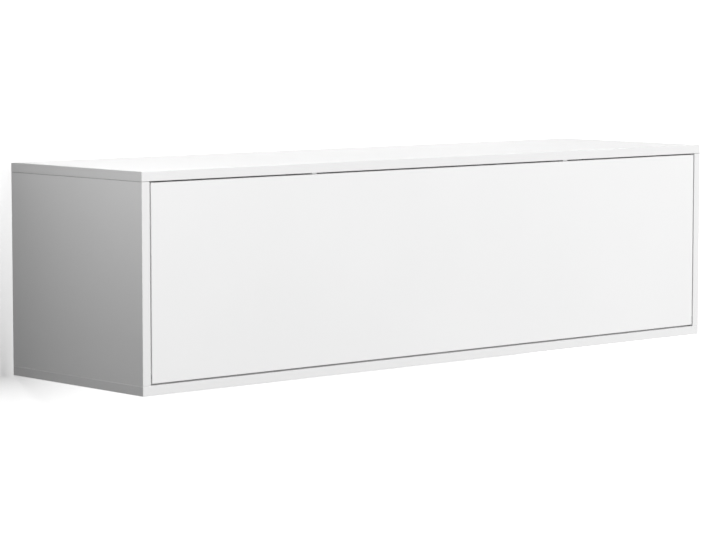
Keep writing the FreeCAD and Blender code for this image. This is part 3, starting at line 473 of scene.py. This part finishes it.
# %% Beech, lining and magnet
BEECH_DARK, BEECH, BEECH_PALE = (0.50, 0.32, 0.17), (0.62, 0.42, 0.24), (0.70, 0.50, 0.31)
BEECH_GRAIN, BEECH_DEEP = 1.2 * MM, 0.02 * MM
BEECH_STRETCH = (1, 1, 0.1)
LINING, LINING_SPECK = (0.04, 0.04, 0.04), 0.6 * MM
MAGNET, MAGNET_SPECK = (0.05, 0.05, 0.055), 0.3 * MM
SPECK_DARK, SPECK_PALE, SPECK_DEEP = 0.6, 1.5, 0.02 * MM


def beech():
    finish = Finish("beech", BEECH, roughness=0.6)
    grain = finish.noise(BEECH_GRAIN, detail=4, stretch=BEECH_STRETCH)
    finish.feed("Base Color", finish.mix(finish.spread(grain, 0.0, 1.0), BEECH_DARK, BEECH_PALE))
    finish.bump(grain, BEECH_DEEP)
    return finish


def dull_dark(name, colour, roughness, grain):
    finish = Finish(name, colour, roughness)
    speck = finish.noise(grain, detail=3)
    finish.feed("Base Color", finish.mix(speck, shade(colour, SPECK_DARK), shade(colour, SPECK_PALE)))
    finish.bump(speck, SPECK_DEEP)
    return finish


dress(beech(), "dowels")
dress(dull_dark("brake_lining", LINING, 0.8, LINING_SPECK), *both("brake_pad"))
dress(dull_dark("magnet", MAGNET, 0.55, MAGNET_SPECK), *both("latch_magnet"))
print("bare pieces", [name for name, piece in nodes.items() if not piece.material_slots])

# %% [markdown]
# ## Wood screws
#
# Countersunk screws with a cross recess hold the latches, stay plates, brackets, hangers and strikes.
# In the frame they are plain turned blanks. The recess could be cut out with a boolean, but sinking
# five cells of a grid gives cleaner faces: the grid's lines are moved to the edges of the cross, its
# outline is pushed out to the round rim, and the rim is drawn down to the core and the point.

# %% Head and core
HEAD_RADIUS, HEAD_DEEP = 3.5 * MM, 2.0 * MM
CORE_RADIUS, CORE_END = 1.2 * MM, 10.5 * MM
SCREW_LONG = 14.0 * MM
CROSS_REACH, CROSS_HALF = 1.9 * MM, 0.45 * MM
CROSS_DEEP, CROSS_TAPER = 1.3 * MM, 0.7
GRID_CELLS = 5


def vertices(made):
    return [item for item in made["geom"] if isinstance(item, bmesh.types.BMVert)]


def in_cross(face):
    inner, outer = sorted(abs(value) for value in face.calc_center_median().xy)
    return inner < CROSS_HALF and outer < CROSS_REACH


def drawn_down(bm, ring, radius, depth):
    """Extrude a ring of edges to a new radius and depth, and return the new ring."""
    made = bmesh.ops.extrude_edge_only(bm, edges=ring)
    moved = vertices(made)
    for vert in moved:
        vert.co = (*(radius * vert.co.xy.normalized()), -depth)
    return [
        item for item in made["geom"]
        if isinstance(item, bmesh.types.BMEdge) and all(vert in moved for vert in item.verts)]


def screw_blank(bm):
    """A screw that points down, with the face of its head at z = 0."""
    bmesh.ops.create_grid(bm, x_segments=GRID_CELLS, y_segments=GRID_CELLS, size=1)
    lines = (-HEAD_RADIUS, -CROSS_REACH, -CROSS_HALF, CROSS_HALF, CROSS_REACH, HEAD_RADIUS)
    for vert in bm.verts:
        column, row = (round((value + 1) / 2 * GRID_CELLS) for value in vert.co.xy)
        vert.co = (lines[column], lines[row], 0)
    cross = [face for face in bm.faces if in_cross(face)]
    sunk = bmesh.ops.extrude_face_region(bm, geom=cross)
    bmesh.ops.delete(bm, geom=cross, context="FACES")
    bmesh.ops.translate(bm, verts=vertices(sunk), vec=(0, 0, -CROSS_DEEP))
    bmesh.ops.scale(bm, verts=vertices(sunk), vec=(CROSS_TAPER, CROSS_TAPER, 1))
    outline = [edge for edge in bm.edges if edge.is_boundary]
    bmesh.ops.subdivide_edges(bm, edges=outline, cuts=1)
    for vert in bm.verts:
        if vert.is_boundary:
            vert.co = HEAD_RADIUS * vert.co.normalized()
    rim = [edge for edge in bm.edges if edge.is_boundary]
    neck = drawn_down(bm, rim, CORE_RADIUS, HEAD_DEEP)
    end = drawn_down(bm, neck, CORE_RADIUS, CORE_END)
    tip = {vert for edge in drawn_down(bm, end, CORE_RADIUS, SCREW_LONG) for vert in edge.verts}
    bmesh.ops.pointmerge(bm, verts=list(tip), merge_co=(0, 0, -SCREW_LONG))


screw_bm = bmesh.new()
screw_blank(screw_bm)
print("faces of the blank", len(screw_bm.faces))

# %% [markdown]
# A thread is a small triangle that is spun round the core and sinks by one pitch in each turn. Spin
# does that in one call, because it takes a step along with the turn; a screw modifier would do it too,
# but on an object of its own. Past the core's end the crest draws in to the point.

# %% Thread
CREST_RADIUS = 1.75 * MM
PITCH = 1.6 * MM
RIDGE, RIDGE_SUNK = 0.9 * MM, 0.15 * MM
THREAD_START = 2.6 * MM
TURNS, TURN_STEPS = 6, 16


def thread(bm):
    root = CORE_RADIUS - RIDGE_SUNK
    profile = ((root, 0), (CREST_RADIUS, RIDGE / 2), (root, RIDGE))
    corners = [bm.verts.new((radius, 0, -THREAD_START - drop)) for radius, drop in profile]
    start = bm.faces.new(corners)
    before = set(bm.verts) - set(corners)
    bmesh.ops.spin(
        bm, geom=[*corners, *start.edges, start], cent=(0, 0, 0), axis=(0, 0, 1),
        dvec=(0, 0, -PITCH / TURN_STEPS), angle=math.tau * TURNS, steps=TURNS * TURN_STEPS)
    for vert in set(bm.verts) - before:
        drawn_in = min(1, (vert.co.z + SCREW_LONG) / (SCREW_LONG - CORE_END))
        vert.co.xy *= drawn_in


thread(screw_bm)
print("faces with the thread", len(screw_bm.faces))

# %% [markdown]
# One screw is finished once and copied to every seat. The blank and the thread stay two closed shells
# that overlap. A boolean could join them, but the joint is never seen, because the thread is inside the
# wood.

# %% One screw
bmesh.ops.recalc_face_normals(screw_bm, faces=screw_bm.faces)
screw = bpy.data.meshes.new("wood_screw")
screw_bm.to_mesh(screw)
screw_bm.free()
print("faces of one screw", len(screw.polygons))

# %% [markdown]
# The seats come from the frame's own blanks, so each screw lands in its hole: a merged copy of the
# blanks falls into islands, the long side of an island is the screw's axis, and its wide end is the
# head. Typed places would do too, until a size changes.

# %% Seats
MERGE = 0.01 * MM


def islands(bm):
    waiting = set(bm.verts)
    while waiting:
        front, island = [waiting.pop()], []
        while front:
            vert = front.pop()
            island.append(vert.co.copy())
            joined = {edge.other_vert(vert) for edge in vert.link_edges} & waiting
            waiting -= joined
            front += joined
        yield island


def seat(island):
    """The middle of a blank's head and the way that the blank points."""
    low, high = (Vector(side(point[axis] for point in island) for axis in range(3)) for side in (min, max))
    axis = max(range(3), key=lambda index: high[index] - low[index])
    ends = []
    for level in (low[axis], high[axis]):
        middle = (low + high) / 2
        middle[axis] = level
        wide = max((point - middle).length for point in island if abs(point[axis] - level) < MERGE)
        ends.append((wide, middle))
    (_, tip), (_, head) = sorted(ends, key=lambda end: end[0])
    return head, (tip - head).normalized()


def seats_of(blanks):
    copy = bmesh.new()
    copy.from_mesh(nodes[blanks].data)
    bmesh.ops.remove_doubles(copy, verts=copy.verts, dist=MERGE)
    seats = sorted((seat(island) for island in islands(copy)), key=lambda item: item[0][:])
    copy.free()
    return seats


print("heads of the strike screws", [[round(v, 3) for v in head] for head, _ in seats_of("strike_screws")])

# %% [markdown]
# Each group is one piece that rides on the body it is driven into and stands in for its blanks. The
# crosses are turned further from screw to screw, as hand-driven ones are. Instances could repeat the
# screw, but a finished piece keeps its place in its own mesh.

# %% Groups of screws
CROSS_TURN = 2.4
SHARP = math.radians(35)


def screw_group(name, blanks, body):
    seats = seats_of(blanks)
    bm = bmesh.new()
    for count, (head, way) in enumerate(seats):
        one = screw.copy()
        tilt = Vector((0, 0, -1)).rotation_difference(way).to_matrix().to_4x4()
        one.transform(Matrix.Translation(head) @ tilt @ Matrix.Rotation(count * CROSS_TURN, 4, "Z"))
        bm.from_mesh(one)
        bpy.data.meshes.remove(one)
    mesh = bpy.data.meshes.new(name)
    bm.to_mesh(mesh)
    bm.free()
    mesh.shade_smooth()
    mesh.set_sharp_from_angle(angle=SHARP)
    mesh.materials.append(zinc.material)
    piece = bpy.data.objects.new(name, mesh)
    bpy.context.scene.collection.objects.link(piece)
    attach(piece, body)
    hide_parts(blanks)
    print(name, len(seats))


screw_group("latch_wood_screws", "latch_screws", "case")
screw_group("stay_wood_screws", "stay_plate_screws", "case")
screw_group("hanger_wood_screws", "hanger_screws", "case")
screw_group("bracket_wood_screws", "flap_bracket_screws", "flap")
screw_group("strike_wood_screws", "strike_screws", "flap")

# %% [markdown]
# ## Wall and floor
#
# The photograph has a white wall behind the cabinet, overexposed so that only the deepest part of the
# shadow is left, beside the dark end and under its rear corner. One sweep of paper stands for wall and
# floor: its outline is a line, a quarter turn and a line, and one extrusion makes it wide. Two planes
# would be quicker, but they meet in a hard line.

# %% Sweep of paper
FLOOR_DROP = 1.1
COVE = 0.5
SWEEP_HALF_WIDE = 9.0
SWEEP_HIGH = 6.0
SWEEP_OUT = 9.0
COVE_STEPS = 24


def paper_sweep():
    bm = bmesh.new()
    wall_y = cad_high.y
    floor_z = cad_low.z - FLOOR_DROP
    start = bm.verts.new((-SWEEP_HALF_WIDE, wall_y, SWEEP_HIGH))
    bend = bm.verts.new((-SWEEP_HALF_WIDE, wall_y, floor_z + COVE))
    bm.edges.new((start, bend))
    turn = bmesh.ops.spin(
        bm, geom=[bend], cent=(0, wall_y - COVE, floor_z + COVE), axis=(-1, 0, 0), angle=math.pi / 2,
        steps=COVE_STEPS)
    end = next(item for item in turn["geom_last"] if isinstance(item, bmesh.types.BMVert))
    front = bm.verts.new((-SWEEP_HALF_WIDE, wall_y - SWEEP_OUT, floor_z))
    bm.edges.new((end, front))
    made = bmesh.ops.extrude_edge_only(bm, edges=bm.edges[:])
    bmesh.ops.translate(bm, verts=vertices(made), vec=(2 * SWEEP_HALF_WIDE, 0, 0))
    bmesh.ops.recalc_face_normals(bm, faces=bm.faces)
    upright = max(bm.faces, key=lambda face: face.calc_center_median().z)
    if upright.normal.y > 0:
        bmesh.ops.reverse_faces(bm, faces=bm.faces)
    mesh = bpy.data.meshes.new("paper_sweep")
    bm.to_mesh(mesh)
    bm.free()
    mesh.shade_smooth()
    sweep = bpy.data.objects.new("paper_sweep", mesh)
    bpy.context.scene.collection.objects.link(sweep)
    return sweep


sweep = paper_sweep()
sweep.visible_shadow = False
print("sweep faces", len(sweep.data.polygons))

# %% [markdown]
# The paper glows for rays that show it. The glow dips beside the lower rear corner of the dark end: this
# dip is a painted shadow, laid over the shadow that the key really casts there. From there the glow turns
# white slowly upwards and quickly downwards, so it also paints over the key's shadow under the cabinet. It
# could be lit with more lamps, but those would bleach the cabinet. It has one side only, so a view from
# behind looks through it at the cabinet's back, and it sends little light back, because the dark end of
# the cabinet has hardly any from the wall.

# %% Paper
PAPER = 0.80
PAPER_BOUNCE = 0.08
# The least glow is in the middle of the painted shadow; the most is plain white paper.
GLOW_NEAR, GLOW_FAR = 0.30, 1.0
REACH_ALONG, REACH_UP, REACH_DOWN = 0.3, 1.7, 0.08
SHADOW_OUT = 0.022


def seen_ray(graph):
    """One for rays that show the background: from the camera, off metal or through glass."""
    path = graph.add("ShaderNodeLightPath")
    rays = ("Is Camera Ray", "Is Glossy Ray", "Is Transmission Ray")
    return graph.chain("MAXIMUM", [path.outputs[ray] for ray in rays])


def from_painted_shadow(finish):
    """How far a point lies from the darkest spot of the painted shadow on the wall, measured in reaches.
    """
    along, _, up = finish.axes()
    sideways = finish.maths("SUBTRACT", along, cad_low.x - SHADOW_OUT)
    higher = finish.maths("SUBTRACT", up, cad_low.z)
    ways = [finish.maths("DIVIDE", higher, reach) for reach in (REACH_UP, -REACH_DOWN)]
    upright = finish.maths("MAXIMUM", *ways)
    level = finish.maths("DIVIDE", sideways, REACH_ALONG)
    return finish.maths("SQRT", finish.weighted((level, level), (upright, upright)))


def paper():
    finish = Finish("paper", (PAPER,) * 3, 1.0, specular_ior_level=0.0)
    seen = seen_ray(finish)
    finish.feed("Base Color", finish.mix(seen, (PAPER_BOUNCE,) * 3, (PAPER,) * 3))
    # The glow's dip near the dark end paints the shadow there.
    glow = finish.ranged(finish.maths("SQRT", from_painted_shadow(finish)), GLOW_NEAR, GLOW_FAR)
    finish.feed("Emission Color", (1, 1, 1, 1))
    finish.feed("Emission Strength", finish.maths("MULTIPLY", seen, glow))
    one_sided = finish.add("ShaderNodeMixShader")
    finish.join(finish.add("ShaderNodeNewGeometry").outputs["Backfacing"], one_sided.inputs[0])
    finish.join(finish.shader.outputs[0], one_sided.inputs[1])
    finish.join(finish.add("ShaderNodeBsdfTransparent").outputs[0], one_sided.inputs[2])
    finish.join(one_sided.outputs[0], finish.tree.nodes["Material Output"].inputs["Surface"])
    return finish.material


sweep.data.materials.append(paper())
print("glow from", GLOW_NEAR, "to", GLOW_FAR)

# %% [markdown]
# ## Light
#
# A large soft key stands far off to the right and a little above the cabinet, so that the front is even
# and the shadow falls to the left. A soft box overhead lights the top, a small one beside the dark end
# grades it from top to bottom, and one behind shows the back when the view goes there. The small one
# isn't mirrored in the sheen of the top. The sky is white to look at and faint as a light; a strong one
# could light everything, but without a shadow on one side.

# %% Sky
SKY = 0.055


def sky():
    world = bpy.data.worlds.new("sky")
    bpy.context.scene.world = world
    world.use_nodes = True
    graph = Graph(world.node_tree)
    backdrop = graph.tree.nodes["Background"]
    graph.join((1, 1, 1, 1), backdrop.inputs["Color"])
    graph.join(graph.ranged(seen_ray(graph), SKY, 1.0), backdrop.inputs["Strength"])


sky()
print("sky as a light", SKY)

# %% [markdown]
# A soft box is an area lamp that faces its aim. A ring of small lamps could do the same work, but one
# rectangle gives one soft shadow, as in the photograph. The lamps aren't seen by the camera themselves.


# %% Lamps
def softbox(name, place, aim, wide, tall, watts, mirrored=True):
    lamp = bpy.data.lights.new(name, "AREA")
    lamp.shape = "RECTANGLE"
    lamp.size, lamp.size_y = wide, tall
    lamp.energy = watts
    holder = bpy.data.objects.new(name, lamp)
    holder.location = place
    holder.rotation_euler = (Vector(aim) - Vector(place)).to_track_quat("-Z", "Y").to_euler()
    holder.visible_camera = False
    holder.visible_glossy = mirrored
    bpy.context.scene.collection.objects.link(holder)


middle = (cad_low + cad_high) / 2
softbox("key", (4.6, -10.0, 2.1), middle, wide=4.0, tall=1.4, watts=1085)
softbox("overhead", (0.45, -0.45, 3.0), middle, wide=2.5, tall=1.0, watts=49)
dark_corner = (cad_low.x, -0.38, cad_high.z)
softbox("end_fill", (-1.5, -0.55, 0.55), dark_corner, wide=0.4, tall=0.4, watts=4.75, mirrored=False)
softbox("back_fill", (middle.x, 1.8, middle.z), middle, wide=2.4, tall=1.2, watts=14)
print("lamps", [lamp.name for lamp in bpy.data.lights])

# %% [markdown]
# ## Camera
#
# The camera stands in front of the left end, a little above the top, with a long lens. Its place was
# worked out from the lines of the cabinet's edges in the photograph. Setting it by eye would be quicker,
# but then the picture and the photograph couldn't be laid over each other.

# %% Camera
CAMERA_PLACE = (-3.797, -4.430, 0.375)
CAMERA_YAW, CAMERA_PITCH = math.radians(41.550), math.radians(5.308)
LENS, SENSOR_WIDE = 144.22, 36
FAR_END = 100

camera_data = bpy.data.cameras.new("camera")
camera_data.sensor_width = SENSOR_WIDE
camera_data.lens = LENS
camera_data.clip_end = FAR_END
camera = bpy.data.objects.new("camera", camera_data)
camera.location = CAMERA_PLACE
camera.rotation_euler = (math.pi / 2 - CAMERA_PITCH, 0, -CAMERA_YAW)
bpy.context.scene.collection.objects.link(camera)
bpy.context.scene.camera = camera
bpy.context.scene.view_settings.view_transform = "Standard"
print("camera at", [round(v, 2) for v in camera.location])
